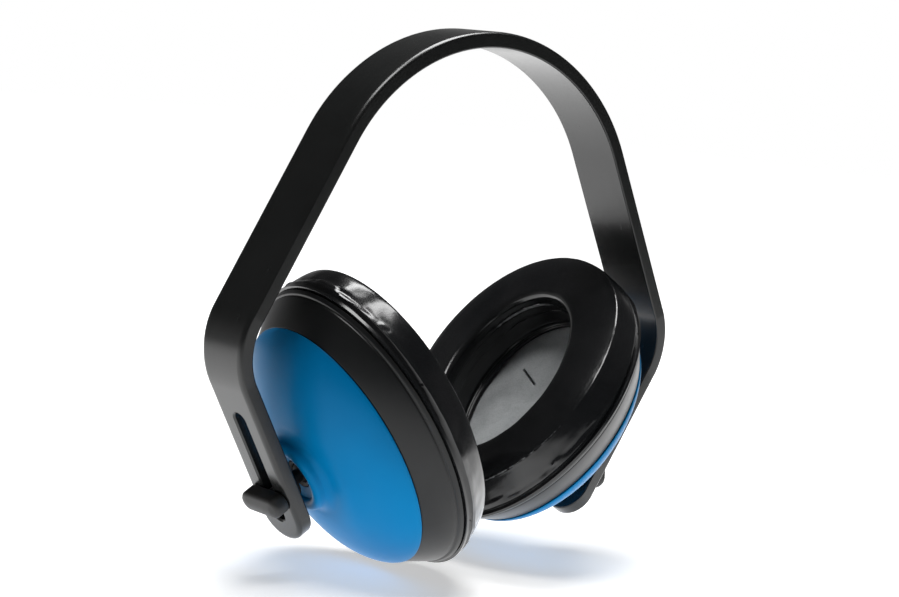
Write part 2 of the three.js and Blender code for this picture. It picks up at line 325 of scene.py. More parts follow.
def cut(obj, cutter):
    modifier = obj.modifiers.new("cut", "BOOLEAN")
    modifier.operation = "DIFFERENCE"
    modifier.solver = "EXACT"
    modifier.object = cutter
    bpy.context.view_layer.update()
    apply_modifiers(obj)
    bpy.data.objects.remove(cutter)


def arc(centre_r, centre_z, radius_r, radius_z, start, end, steps):
    points = []
    for i in range(steps + 1):
        angle = math.radians(start + (end - start) * i / steps)
        points.append((centre_r + radius_r * math.cos(angle), centre_z + radius_z * math.sin(angle)))
    return points


def ball_arc(radius, start, end, steps):
    return arc(0, 0, radius, radius, start - 90, end - 90, steps)


def rounded(points, radius, steps=4, closed=True):
    """Rounds the corners of a profile, each by the radius or by what its sides allow."""
    out = []
    count = len(points)
    for i, point in enumerate(points):
        if not closed and i in (0, count - 1):
            out.append(point)
            continue
        here = Vector(point)
        before = Vector(points[i - 1])
        after = Vector(points[(i + 1) % count])
        to_before = before - here
        to_after = after - here
        turn = to_before.angle(to_after, math.pi)
        if turn > math.radians(150) or here.x < clearance:
            out.append(point)
            continue
        reach = min(radius / math.tan(turn / 2), to_before.length * 0.45, to_after.length * 0.45)
        start = here + to_before.normalized() * reach
        end = here + to_after.normalized() * reach
        for k in range(steps + 1):
            t = k / steps
            out.append(tuple(start * (1 - t) ** 2 + here * 2 * t * (1 - t) + end * t * t))
    return out


def smoothstep(x, low, high):
    t = min(max((x - low) / (high - low), 0), 1)
    return t * t * (3 - 2 * t)


def oval(x, y):
    """The cup's pieces are round at the boss and oval further out."""
    r = math.hypot(x, y)
    if r == 0:
        return x, y
    return x, y * (r - oval_step * smoothstep(r, boss_base, line_radius)) / r


def grid_faces(rows, count, wrap_rows=True, wrap_columns=True):
    """Quads between rows of points, each row joined to the next."""
    faces = []
    for i in range(rows if wrap_rows else rows - 1):
        for j in range(count if wrap_columns else count - 1):
            a = i * count + j
            b = i * count + (j + 1) % count
            c = ((i + 1) % rows) * count + (j + 1) % count
            d = ((i + 1) % rows) * count + j
            faces.append((a, b, c, d))
    return faces


def lathe(name, profile, turns, shape=None, sharp_angle=32):
    """Turns a closed profile of (r, z) points round Z."""
    verts = []
    for i in range(turns):
        angle = 2 * math.pi * i / turns
        for r, z in profile:
            x, y = r * math.cos(angle), r * math.sin(angle)
            if shape:
                x, y = shape(x, y)
            verts.append((x, y, z))
    return new_object(name, verts, grid_faces(turns, len(profile)), sharp_angle)


def box_cutter(low, high):
    verts = [(x, y, z) for x in (low[0], high[0]) for y in (low[1], high[1]) for z in (low[2], high[2])]
    faces = [(0, 1, 3, 2), (4, 6, 7, 5), (0, 4, 5, 1), (2, 3, 7, 6), (0, 2, 6, 4), (1, 5, 7, 3)]
    return new_object("cutter", verts, faces)


# Materials
def node(tree, kind, **settings):
    made = tree.nodes.new(kind)
    for key, value in settings.items():
        setattr(made, key, value)
    return made


def noise_node(tree, coordinates, scale, detail=3, roughness=0.5, stretch=None):
    texture = node(tree, "ShaderNodeTexNoise")
    texture.inputs["Scale"].default_value = scale
    texture.inputs["Detail"].default_value = detail
    texture.inputs["Roughness"].default_value = roughness
    source = coordinates
    if stretch:
        mapping = node(tree, "ShaderNodeMapping")
        mapping.inputs["Scale"].default_value = stretch
        tree.links.new(coordinates, mapping.inputs["Vector"])
        source = mapping.outputs["Vector"]
    tree.links.new(source, texture.inputs["Vector"])
    return texture.outputs["Fac"]


def ramp_node(tree, value, low, high, start=0.35, end=0.65):
    ramp = node(tree, "ShaderNodeValToRGB")
    ramp.color_ramp.elements[0].position = start
    ramp.color_ramp.elements[1].position = end
    ramp.color_ramp.elements[0].color = (*low, 1)
    ramp.color_ramp.elements[1].color = (*high, 1)
    tree.links.new(value, ramp.inputs["Fac"])
    return ramp.outputs["Color"]


def range_node(tree, value, low, high):
    made = node(tree, "ShaderNodeMapRange")
    made.inputs["To Min"].default_value = low
    made.inputs["To Max"].default_value = high
    tree.links.new(value, made.inputs["Value"])
    return made.outputs["Result"]


def smooth_range(tree, value, start, end, low, high):
    made = node(tree, "ShaderNodeMapRange")
    made.interpolation_type = "SMOOTHSTEP"
    made.inputs["From Min"].default_value = start
    made.inputs["From Max"].default_value = end
    made.inputs["To Min"].default_value = low
    made.inputs["To Max"].default_value = high
    tree.links.new(value, made.inputs["Value"])
    return made.outputs["Result"]


def times(tree, first, second):
    made = node(tree, "ShaderNodeMath", operation="MULTIPLY")
    tree.links.new(first, made.inputs[0])
    tree.links.new(second, made.inputs[1])
    return made.outputs[0]


def mix_colour(tree, factor, first, second):
    made = node(tree, "ShaderNodeMix", data_type="RGBA")
    sockets = {socket.identifier: socket for socket in made.inputs}
    tree.links.new(factor, sockets["Factor_Float"])
    tree.links.new(first, sockets["A_Color"])
    sockets["B_Color"].default_value = (*second, 1)
    return next(socket for socket in made.outputs if socket.identifier == "Result_Color")


def bump_node(tree, height, distance, strength=1.0, below=None):
    bump = node(tree, "ShaderNodeBump")
    bump.inputs["Distance"].default_value = distance
    bump.inputs["Strength"].default_value = strength
    tree.links.new(height, bump.inputs["Height"])
    if below:
        tree.links.new(below, bump.inputs["Normal"])
    return bump.outputs["Normal"]


def start_material(name):
    material = bpy.data.materials.new(name)
    material.use_nodes = True
    tree = material.node_tree
    shader = tree.nodes["Principled BSDF"]
    coordinates = node(tree, "ShaderNodeTexCoord").outputs["Object"]
    return material, tree, shader, coordinates


def moulded_plastic(name, dark, light, roughness, grain, cloud_scale=40, gloss_level=0.5, smear=None):
    """Moulded plastic: slow colour clouds, uneven gloss, a fine grain and faint ripples from the mould."""
    material, tree, shader, coordinates = start_material(name)
    clouds = noise_node(tree, coordinates, cloud_scale, 4)
    tree.links.new(ramp_node(tree, clouds, dark, light), shader.inputs["Base Color"])
    smudges = noise_node(tree, coordinates, cloud_scale * 3, 5, 0.6, smear)
    gloss = range_node(tree, smudges, roughness * 0.82, roughness * 1.2)
    tree.links.new(gloss, shader.inputs["Roughness"])
    fine = noise_node(tree, coordinates, 2600, 2)
    ripples = noise_node(tree, coordinates, 55, 2)
    normal = bump_node(tree, fine, grain, 0.6)
    normal = bump_node(tree, ripples, grain * 3, 0.5, normal)
    tree.links.new(normal, shader.inputs["Normal"])
    shader.inputs["Specular IOR Level"].default_value = gloss_level
    return material


def vinyl_material():
    """Glossy vinyl film with a fine grain, uneven gloss, small puckers and slow swells, and a light grey
    painted highlight along both creases.
    """
    material, tree, shader, coordinates = start_material("cushion_vinyl")
    clouds = noise_node(tree, coordinates, 60, 3)
    colour = ramp_node(tree, clouds, (0.005, 0.0055, 0.0062), (0.0095, 0.0098, 0.0105))
    # Painted highlight: the creases' mask, broken up by fine noise, mixes a light grey into the colour
    # where the crease lines catch the light.
    crease_highlight = node(tree, "ShaderNodeAttribute", attribute_name="crease_highlight").outputs["Fac"]
    crinkle = noise_node(tree, coordinates, 700, 4, 0.7)
    highlight_streak = smooth_range(tree, times(tree, crease_highlight, crinkle), 0.22, 0.42, 0.0, 1.0)
    tree.links.new(mix_colour(tree, highlight_streak, colour, (0.2, 0.205, 0.21)), shader.inputs["Base Color"])
    dull = noise_node(tree, coordinates, 90, 5, 0.65)
    tree.links.new(range_node(tree, dull, 0.1, 0.25), shader.inputs["Roughness"])
    grain = noise_node(tree, coordinates, 1500, 3)
    puckers = noise_node(tree, coordinates, 190, 4, 0.55)
    swells = noise_node(tree, coordinates, 48, 2)
    normal = bump_node(tree, grain, 0.015 * mm, 0.5)
    normal = bump_node(tree, puckers, 0.1 * mm, 0.4, normal)
    normal = bump_node(tree, swells, 0.5 * mm, 0.5, normal)
    tree.links.new(normal, shader.inputs["Normal"])
    return material


def foam_material(name, dark, light, cell_scale, depth):
    """Open-cell foam: fine dark pores on a soft, uneven ground."""
    material, tree, shader, coordinates = start_material(name)
    cells = node(tree, "ShaderNodeTexVoronoi")
    cells.inputs["Scale"].default_value = cell_scale
    tree.links.new(coordinates, cells.inputs["Vector"])
    clouds = noise_node(tree, coordinates, 70, 5)
    pores = range_node(tree, cells.outputs["Distance"], 0.0, 0.3)
    mixed = node(tree, "ShaderNodeMath", operation="ADD")
    tree.links.new(pores, mixed.inputs[0])
    tree.links.new(clouds, mixed.inputs[1])
    colour = ramp_node(tree, mixed.outputs[0], light, dark, 0.35, 0.95)
    tree.links.new(colour, shader.inputs["Base Color"])
    tree.links.new(range_node(tree, clouds, 0.9, 1.0), shader.inputs["Roughness"])
    shader.inputs["Specular IOR Level"].default_value = 0.25
    normal = bump_node(tree, cells.outputs["Distance"], depth, 0.6)
    normal = bump_node(tree, clouds, 0.4 * mm, 0.5, normal)
    tree.links.new(normal, shader.inputs["Normal"])
    return material


band_smear = (0.5, 4.0, 0.5)
band_material = moulded_plastic(
    "band_plastic", (0.0065, 0.007, 0.007), (0.0092, 0.0098, 0.0096), 0.25, 0.006 * mm, smear=band_smear
)
knob_material = moulded_plastic(
    "knob_plastic", (0.008, 0.008, 0.008), (0.016, 0.0158, 0.015), 0.55, 0.03 * mm
)
stud_material = moulded_plastic(
    "stud_plastic", (0.006, 0.006, 0.0065), (0.01, 0.01, 0.0105), 0.55, 0.02 * mm, gloss_level=0.25
)
socket_material = moulded_plastic(
    "socket_plastic", (0.006, 0.006, 0.0065), (0.01, 0.01, 0.0105), 0.55, 0.02 * mm, gloss_level=0.25
)
ring_material = moulded_plastic(
    "base_plastic", (0.006, 0.0064, 0.0068), (0.009, 0.0094, 0.0098), 0.34, 0.012 * mm, gloss_level=0.28
)
cup_material = moulded_plastic(
    "cup_plastic", (0.0, 0.125, 0.305), (0.0, 0.148, 0.35), 0.36, 0.008 * mm, 22, 0.05
)
plate_material = moulded_plastic(
    "plate_plastic", (0.008, 0.008, 0.0085), (0.014, 0.014, 0.0145), 0.45, 0.02 * mm
)
vinyl = vinyl_material()
grey_foam = foam_material("liner_foam", (0.34, 0.355, 0.362), (0.56, 0.58, 0.588), 1600, 0.06 * mm)
cream_foam = foam_material("cushion_foam", (0.25, 0.23, 0.18), (0.6, 0.56, 0.46), 1100, 0.18 * mm)


# Headband
def band_stations():
    """Places down the right half of the outer face: x, z, heading and the share of the narrowing."""
    stations = [(0.0, band_thickness, 0.0, 0.0)]

    def bend(radius, turn, steps, narrows):
        x, z, heading, share = stations[-1]
        centre = (x - radius * math.sin(heading), z - radius * math.cos(heading))
        for i in range(1, steps + 1):
            angle = heading + math.radians(turn) * i / steps
            place = (centre[0] + radius * math.sin(angle), centre[1] + radius * math.cos(angle))
            stations.append((*place, angle, i / steps if narrows else share))

    def run(length, steps):
        x, z, heading, share = stations[-1]
        for i in range(1, steps + 1):
            along = length * i / steps
            place = (x + along * math.cos(heading), z - along * math.sin(heading))
            stations.append((*place, heading, share))

    bend(crown_radius, crown_turn, 30, False)
    bend(shoulder_radius, shoulder_turn, 12, False)
    run(upper_length, 10)
    bend(elbow_radius, elbow_turn, 28, True)
    run(lower_length - band_lower_width / 2, 10)
    return stations


def band_section():
    """Half of the cross-section as (inset from the side, depth below the outer face)."""
    bevel = arc(0, 0, bevel_width, bevel_depth, 90, 0, 8)
    outer = [(bevel_width - r, bevel_depth - z) for r, z in bevel]
    edge = arc(0, 0, inner_round, inner_round, 0, -90, 4)
    edge_depth = band_thickness - inner_round
    inner = [(inner_round - r, edge_depth - z) for r, z in edge]
    return outer + inner


def band_ring(station, tip_angle):
    x, z, heading, share = station
    half = (band_width + (band_lower_width - band_width) * share) / 2
    section = band_section()
    ring = []
    for sign, points in ((-1, section), (1, section[::-1])):
        for inset, depth in points:
            along = (half - inset) * math.sin(tip_angle)
            across = sign * (half - inset) * math.cos(tip_angle)
            ring.append(
                (
                    x + along * math.cos(heading) - depth * math.sin(heading),
                    across,
                    z - along * math.sin(heading) - depth * math.cos(heading),
                )
            )
    return ring


def slot_cutter(end):
    """A stadium prism through the arm, flared at both faces so that it leaves rounded edges."""
    x, z, heading, _ = end
    up = Vector((-math.cos(heading), 0, math.sin(heading)))
    inward = Vector((-math.sin(heading), 0, -math.cos(heading)))
    bottom = slot_tip_wall + slot_width / 2 - band_lower_width / 2
    top = bottom + slot_length - slot_width
    steps = 14
    layers = [(-cut_over, slot_fillet), (0.0, slot_fillet)]
    for i in range(1, 6):
        rise = math.sin(math.radians(90 * i / 5))
        layers.append((slot_fillet * rise, slot_fillet * (1 - rise)))
    layers += [(band_thickness - depth, grow) for depth, grow in layers[::-1]]
    verts = []
    for depth, grow in layers:
        radius = slot_width / 2 + grow
        for centre, start in ((top, -90), (bottom, 90)):
            for i in range(steps + 1):
                angle = math.radians(start + 180 * i / steps)
                along = centre + radius * math.cos(angle)
                across = Vector((0, radius * math.sin(angle), 0))
                verts.append(Vector((x, 0, z)) + up * along + inward * depth + across)
    count = 2 * (steps + 1)
    faces = grid_faces(len(layers), count, wrap_rows=False)
    faces.append(tuple(range(count)))
    faces.append(tuple(range((len(layers) - 1) * count, len(layers) * count)))
    return new_object("slot_cutter", verts, faces)


def headband():
    stations = band_stations()
    tip_steps = 22
    right = [band_ring(station, 0) for station in stations]
    right += [band_ring(stations[-1], math.pi / 2 * i / tip_steps) for i in range(1, tip_steps + 1)]
    left = [[(-x, y, z) for x, y, z in ring] for ring in right[:0:-1]]
    rings = left + right
    verts = [point for ring in rings for point in ring]
    faces = grid_faces(len(rings), len(rings[0]), wrap_rows=False)
    band = new_object("headband_fine", verts, faces)
    for sign in (1, -1):
        cutter = slot_cutter(stations[-1])
        if sign < 0:
            for vertex in cutter.data.vertices:
                vertex.co.x = -vertex.co.x
            clean_mesh(cutter)
        cut(band, cutter)
    clean_mesh(band, 38)
    weighted = band.modifiers.new("weighted", "WEIGHTED_NORMAL")
    weighted.keep_sharp = True
    return band


# Stud, knob and socket
def knob(name, side):
    """A thumb bar: a turned end drawn out to both sides, with a blind bore for the spigot."""
    half = knob_width / 2
    top = -clearance - knob_height
    shoulder = top + knob_drop + knob_round
    profile = [(0, -clearance), (half - knob_edge, -clearance)]
    profile += [(half - knob_edge * 0.3, -clearance - knob_edge * 0.24)]
    profile += [(half, -clearance - knob_edge)]
    profile += arc(half - knob_round, shoulder, knob_round, knob_round, 0, -80, 10)
    profile += [(half * 0.35, top + knob_crown), (0, top)]
    reach = knob_length / 2 - half
    steps = 28
    verts = []
    for end, middle_y in enumerate((reach, -reach)):
        for i in range(steps + 1):
            angle = math.pi * (end + i / steps)
            for r, z in profile:
                verts.append((r * math.cos(angle), r * math.sin(angle) + middle_y, z))
    faces = grid_faces(2 * (steps + 1), len(profile), wrap_columns=False)
    bar = new_object(name, verts, faces, 50)
    bore = spigot_radius + clearance
    bore_end = -clearance - knob_height + knob_wall
    cutter = lathe("bore", [(0, bore_end), (bore, bore_end), (bore, cut_over), (0, cut_over)], round_turns)
    cut(bar, cutter)
    bar.data.transform(Matrix.Rotation(math.radians(knob_angles[side]), 4, "Z"))
    clean_mesh(bar, 50)
    return bar


def ball_stud(name, side):
    tip = -knob_height + knob_wall
    neck_z = ball_place - math.sqrt(ball_radius**2 - shank_radius**2)
    neck_angle = math.degrees(math.asin(shank_radius / ball_radius))
    ball = [(r, z + ball_place) for r, z in ball_arc(ball_radius, neck_angle, 180, 20)]
    profile = [
        (0, tip),
        (spigot_radius, tip),
        (spigot_radius, 0),
        (shank_radius, 0),
        (shank_radius, collar_back),
        (collar_radius, collar_back),
        (collar_radius, collar_front),
        (shank_radius, collar_front),
        (shank_radius, neck_z),
    ]
    profile = rounded(profile, stud_round, 3, False) + ball[1:-1] + [(0, ball_place + ball_radius)]
    return lathe(name, profile, round_turns)


def socket_belt(name, side):
    outer = ball_arc(belt_outer, belt_front, belt_back, 14)
    inner = ball_arc(belt_inner, belt_back, belt_front, 14)
    belt = lathe(name, outer + inner, round_turns)
    reach = belt_outer + cut_over
    cut(belt, box_cutter((0, -belt_slit / 2, -reach), (reach, belt_slit / 2, reach)))
    clean_mesh(belt)
    return belt


def socket_cap(name, side):
    hollow = ball_arc(seat_radius, 180, cap_front, 12)
    front_z = hollow[-1][1]
    profile = [(0, seat_radius)] + hollow[1:]
    profile += [(cap_radius, front_z), (cap_radius, cap_back_z), (0, cap_back_z)]
    return lathe(name, profile, round_turns)


# Cup
def dome_curve(radius, height, start, steps):
    points = []
    first = math.asin(start / radius)
    for i in range(steps + 1):
        r = radius * math.sin(first + (math.pi / 2 - first) * i / steps)
        drop = max(1 - (r / radius) ** dome_radial, 0) ** (1 / dome_power)
        points.append((r, edge_z - height * drop))
    return points


def cup_shell(name, side):
    seat = ball_arc(seat_radius, seat_front, 90, 6)
    rim_inner = rim_radius - rim_round
    rim = arc(rim_radius, rim_z + rim_round, rim_round, rim_round, -180, -10, 16)
    dome = dome_curve(shell_radius, dome_height, boss_base, 40)
    base_r, base_z = dome[0]
    flank_r = rim_radius + rim_round
    flank_z = rim_z + rim_round
    flank = arc(base_r, flank_z, flank_r - base_r, base_z - flank_z, 8, 82, 10)
    inside = dome_curve(skirt_radius - shell_wall, dome_height - shell_wall, cap_bore + hub_wall, 16)
    cap_front_z = seat_radius * math.sin(math.radians(cap_front - 90)) - clearance
    hub_end = cap_back_z + clearance
    skirt_end = seam_z - shelf_thickness - clearance
    dome_edge = [(shell_radius - dome_lip * 0.24, edge_z - dome_lip)]
    dome_edge += [(shell_radius - dome_lip * 0.1, edge_z - dome_lip * 0.2)]
    profile = seat[::-1] + [(rim_inner, rim_z + rim_round)] + rim[1:] + flank + dome[:-2] + dome_edge
    profile += [(skirt_radius, edge_z), (skirt_radius, skirt_end)]
    profile += [(skirt_radius - shell_wall, skirt_end)] + inside[::-1]
    profile += [(cap_bore + hub_wall, hub_end), (cap_bore, hub_end)]
    profile += [(cap_bore, cap_front_z), (seat_radius, cap_front_z)]
    return lathe(name, profile, oval_turns, oval, 40)


def base_ring(name, side):
    """A cone with a fine groove and a bead along its outer edge."""
    top = edge_z + clearance
    bore = skirt_radius + clearance
    slope = Vector((ring_radius - shell_radius, ring_depth))
    along = slope.normalized()
    outward = Vector((along.y, -along.x))
    edge = Vector((ring_radius, seam_z))

    def on_cone(back, lift):
        return tuple(edge - along * back + outward * lift)

    profile = [
        (bore, top),
        (shell_radius - cone_edge, top),
        (shell_radius + cone_edge * 0.5, top + cone_edge_height),
        on_cone(bead_width * 1.9, 0),
        on_cone(bead_width * 1.3, -bead_groove * 0.3),
        on_cone(bead_width * 1.15, -bead_groove),
        on_cone(bead_width * 1.0, -bead_groove),
        on_cone(bead_width * 0.8, bead_foot_lift),
        on_cone(bead_width * 0.45, bead_lift),
        on_cone(bead_width * 0.2, 0),
        (ring_radius - seam_round[0], seam_z - seam_round[1]),
        (ring_radius - seam_edge, seam_z),
        (shelf_radius, seam_z),
        (shelf_radius, seam_z - shelf_thickness),
        (bore, seam_z - shelf_thickness),
    ]
    return lathe(name, rounded(profile, corner_round, 3), oval_turns, oval, 50)


def foam_liner(name, side):
    """An open-cell pad, a little domed and uneven, with a short slit."""
    steps = 22
    back = liner_top - liner_thickness
    profile = [(0, back), (liner_radius - liner_edge, back)]
    profile += [(liner_radius, back + liner_edge), (liner_radius, liner_top - 2 * liner_edge)]
    profile += [(liner_radius * (1 - i / steps), liner_top - liner_dip) for i in range(1, steps + 1)]
    pad = lathe(name, profile, oval_turns, oval, 40)
    for vertex in pad.data.vertices:
        if vertex.co.z > liner_top - liner_edge:
            lumps = noise.noise(vertex.co * 90) * liner_lumps
            grain = noise.noise(vertex.co * 420) * liner_grain
            vertex.co.z += lumps + grain - liner_sink
    low = (-slit_length / 2, -slit_width / 2, liner_top - slit_depth)
    high = (slit_length / 2, slit_width / 2, liner_top + cut_over)
    cutter = box_cutter(low, high)
    turn = Matrix.Rotation(math.radians(slit_turn), 4, "Z")
    cutter.data.transform(Matrix.Translation((*slit_place, 0)) @ turn)
    cut(pad, cutter)
    clean_mesh(pad, 40)
    return pad


plate_outer = cushion_radius - waist - skin - clearance
plate_inner = hole_radius + skin + clearance


def cushion_plate(name, side):
    back = cushion_z + plate_thickness
    profile = [(plate_inner, cushion_z), (plate_outer, cushion_z)]
    profile += [(plate_outer, back), (plate_inner, back)]
    return lathe(name, rounded(profile, corner_round), oval_turns, oval)


def roll_face(inset):
    """The cushion from its waist over the wall, the outer crease, the face and the lip to the hole."""
    side_z = cushion_z + bulge_z
    crease_z = crown_z - crease_drop
    steps = 14
    points = [(cushion_radius - waist - inset, cushion_z + waist_height)]
    for i in range(steps + 1):
        share = i / steps
        r = cushion_radius - (cushion_radius - crease_radius) * share**side_power
        points.append((r - inset, side_z + (crease_z - side_z) * share - inset * share * 0.6))
    for i in range(1, steps * 2 + 1):
        r = crease_radius + (crest_radius - crease_radius) * i / (2 * steps)
        drop = crease_drop * ((r - crest_radius) / (crease_radius - crest_radius)) ** face_power
        points.append((r - inset * (1 - i / (2 * steps)), crown_z - drop - inset))
    inner_crease_z = crown_z - inner_crease_drop
    points += arc(crest_radius, crown_z - lip_drop, lip_width - inset, lip_drop - inset, 96, 176, 10)
    points += [(inner_crease_radius + inset, inner_crease_z)]
    step_r, step_z = inner_crease_step
    points += [(inner_crease_radius + step_r + inset, inner_crease_z - step_z)]
    points += [(hole_radius + inset, inner_crease_z - inner_crease_drop)]
    return points


def cushion_foam(name, side):
    back = cushion_z + plate_thickness + clearance
    profile = [(plate_inner, back), (plate_outer, back)] + roll_face(skin + clearance)[1:]
    return lathe(name, profile, oval_turns, oval, 60)


def hem():
    """The cover's inner edge, tucked down into the cup, with fine weld ridges."""
    points = [(hole_radius, cushion_z + hem_start)]
    foot, top = ridge_widths
    ridge = ((foot, 0.0), (top, ridge_height), (-top, ridge_height), (-foot, 0.0))
    for i in range(3):
        centre = cushion_z - hem_length * i / 3
        for offset, lift in ridge:
            points.append((hole_radius - lift - hem_step * i, centre + offset))
    hem_end = cushion_z - hem_length
    points += [(hole_radius - hem_tuck, hem_end), (hole_radius + skin * 0.6, hem_end)]
    return points


def cover_profile():
    flange_top = cushion_z + flange_thickness
    lip = cushion_radius - waist
    outer = [(lip - skin, cushion_z), (flange_radius, cushion_z)]
    outer += [(flange_radius, flange_top), (lip, flange_top + weld_lip)]
    back = roll_face(skin)[::-1]
    return outer, roll_face(0), hem(), [(hole_radius + skin, cushion_z)] + back


def even(points, step):
    """Adds points so that no stretch is longer than a step, and shorter ones at the two creases."""
    outer = (crease_radius, crown_z - crease_drop)
    inner = (inner_crease_radius, crown_z - inner_crease_drop)
    near = 3 * bead_reach
    out = [points[0]]
    for a, b in zip(points, points[1:]):
        at_crease = min(math.dist(point, crease) for point in (a, b) for crease in (outer, inner)) < near
        step_here = bead_step if at_crease else step
        pieces = max(1, math.ceil(math.dist(a, b) / step_here))
        for i in range(1, pieces + 1):
            out.append((a[0] + (b[0] - a[0]) * i / pieces, a[1] + (b[1] - a[1]) * i / pieces))
    return out


def soften(points, corner, reach):
    """Rounds a corner of a finely stepped curve."""
    for _ in range(12):
        before = list(points)
        for i in range(1, len(points) - 1):
            if math.dist(before[i], corner) < reach:
                left, here, right = before[i - 1 : i + 2]
                points[i] = tuple((left[k] + 2 * here[k] + right[k]) / 4 for k in (0, 1))


def puff(cover, held):
    """Cloth with pressure: the vinyl swells and puckers, and no point moves more than a little."""
    rest = [vertex.co.copy() for vertex in cover.data.vertices]
    group = cover.vertex_groups.new(name="held")
    for index, weight in held.items():
        group.add([index], weight, "REPLACE")
    cloth = cover.modifiers.new("puff", "CLOTH")
    settings = cloth.settings
    settings.quality = 6
    settings.mass = 0.05
    settings.use_pressure = True
    settings.uniform_pressure_force = 4
    settings.effector_weights.gravity = 0
    settings.tension_stiffness = 12
    settings.compression_stiffness = 12
    settings.bending_stiffness = 0.02
    settings.shrink_min = -0.025
    settings.vertex_group_mass = "held"
    cloth.collision_settings.use_collision = False
    scene = bpy.context.scene
    cloth.point_cache.frame_start = 1
    cloth.point_cache.frame_end = cloth_frames
    for number in range(1, cloth_frames + 1):
        scene.frame_set(number)
    apply_modifiers(cover)
    scene.frame_set(1)
    for vertex, start in zip(cover.data.vertices, rest):
        move = vertex.co - start
        if move.length > most_move:
            vertex.co = start + move.normalized() * most_move


def cover_place(co):
    """A point of the cover as radius on the long axis, angle and height."""
    narrow = 1 - oval_step / cushion_radius
    return math.hypot(co.x, co.y / narrow), math.atan2(co.y / narrow, co.x), co.z


def round_noise(angle, turns, seed):
    """Noise that runs round the cushion and closes on itself."""
    return noise.noise(Vector((math.cos(angle) * turns, math.sin(angle) * turns, seed)))


def pucker(cover, seed, bead_share, tall_angle):
    """Uneven beads on both creases, loose folds on the outer wall and shallow swells on the face; it also
    stores the mask for the painted highlight along the creases.
    """
    crease_z = crown_z - crease_drop
    inner_crease_z = crown_z - inner_crease_drop
    # Mask for the painted highlight on both creases, fainter on the tall side.
    crease_highlight = cover.data.attributes.new("crease_highlight", "FLOAT", "POINT")
    for vertex in cover.data.vertices:
        r, angle, z = cover_place(vertex.co)
        if z < cushion_z + still_height:
            continue
        outwards = Vector((math.cos(angle), math.sin(angle), 0))
        crease = math.exp(-((r - crease_radius) ** 2 + (z - crease_z) ** 2) / (2 * bead_reach**2))
        inner_away = (r - inner_crease_radius) ** 2 + (z - inner_crease_z) ** 2
        inner = math.exp(-inner_away / (2 * bead_reach**2))
        uneven = 1 + 0.9 * round_noise(angle, bead_turns, seed)
        uneven += 0.5 * round_noise(angle, slow_bead_turns, seed + 3)
        fade = 1 - bead_fade * max(0, math.cos(angle - math.radians(tall_angle)))
        crease_highlight.data[vertex.index].value = max(crease * fade, inner)
        crease *= fade
        height = uneven * bead_height * bead_share
        vertex.co += (outwards * 0.6 + Vector((0, 0, 0.8))) * crease * height
        vertex.co += (Vector((0, 0, 0.5)) - outwards * 0.8) * inner * height
        side = smoothstep(r, crease_radius, cushion_radius - waist)
        folds = round_noise(angle, fold_turns, z * fold_pitch + seed)
        vertex.co += outwards * side * folds * fold_depth
        face = smoothstep(z, crease_z, crown_z)
        vertex.co.z += face * round_noise(angle, swell_turns, seed + 9) * swell_height


def lean(cover, side):
    """The foam stands taller, and bulges further out, towards one side."""
    for vertex in cover.data.vertices:
        r, here, z = cover_place(vertex.co)
        share = smoothstep(z, cushion_z + still_height, crown_z - lean_depth)
        share *= smoothstep(r, hole_radius, crease_radius)
        outwards = Vector((math.cos(here), math.sin(here), 0))
        tall = max(0, math.cos(here - math.radians(lean_angles[side])))
        vertex.co.z += lean_rises[side] * share * tall
        facing = 0.5 + 0.5 * math.cos(here - math.radians(bulge_angles[side]))
        push = bulge_pushes[side] * facing ** bulge_powers[side]
        vertex.co += outwards * push * share


def cover_mesh():
    """The cover's swollen mesh, made once; each side then gets its own puckers."""
    outer, face, inner, back = cover_profile()
    face = even(face, cover_step)
    soften(face, (crease_radius, crown_z - crease_drop), crease_softness)
    profile = outer + face + inner + back
    cover = lathe("cover", profile, cover_turns, oval, 60)
    count = len(profile)
    low = len(outer) + 3
    high = len(outer) + len(face) - 4
    # The weights go by index, which holds while cleaning the mesh has merged no points.
    if len(cover.data.vertices) == count * cover_turns:
        held = {}
        for i in range(cover_turns):
            for j in range(count):
                held[i * count + j] = 0.0 if low <= j <= high else 1.0
        puff(cover, held)
    mesh = cover.data
    bpy.data.objects.remove(cover)
    return mesh


swollen = cover_mesh()


def cushion_cover(name, side):
    cover = bpy.data.objects.new(name, swollen.copy())
    bpy.context.scene.collection.objects.link(cover)
    pucker(cover, pucker_seeds[side], bead_shares[side], lean_angles[side])
    lean(cover, side)
    smooth(cover, 60)
    return cover


# Putting each piece on its body
def place(piece, matrix, body, node_name, slot, material):
    piece.data.transform(matrix)
    piece.data.materials.clear()
    piece.data.materials.append(material)
    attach(piece, body)
    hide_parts(node_name)
    return piece


still = Matrix.Identity(4)
place(headband(), still, "headband", "headband", "band_plastic", band_material)

arm_pieces = (
    ("knob", knob, "stud", "knob_plastic", knob_material),
    ("ball_stud", ball_stud, "stud", "stud_plastic", stud_material),
)
socket_pieces = (
    ("socket_belt", socket_belt, "belt", "socket_plastic", socket_material),
    ("socket_cap", socket_cap, "cap", "socket_plastic", socket_material),
)
cup_pieces = (
    ("cup_shell", cup_shell, "cup", "cup_plastic", cup_material),
    ("base_ring", base_ring, "cup", "base_plastic", ring_material),
    ("foam_liner", foam_liner, "cup", "liner_foam", grey_foam),
    ("cushion_plate", cushion_plate, "cup", "plate_plastic", plate_material),
    ("cushion_foam", cushion_foam, "cup", "cushion_foam", cream_foam),
    ("cushion_cover", cushion_cover, "cup", "cushion_vinyl", vinyl),
)
for side in ("left", "right"):
    for matrix, group in ((arm_frame(side), arm_pieces), (cup_frame(side), socket_pieces + cup_pieces)):
        for kind, make, body, slot, material in group:
            piece = make(f"{side}_{kind}_fine", side)
            place(piece, matrix, f"{side}_{body}", f"{side}_{kind}", slot, material)


# Floor, lights, world and camera
scene = bpy.context.scene
scene.view_settings.view_transform = "Standard"
lowest = cad_box[0].z
middle = Vector((0, 0, -85 * mm))


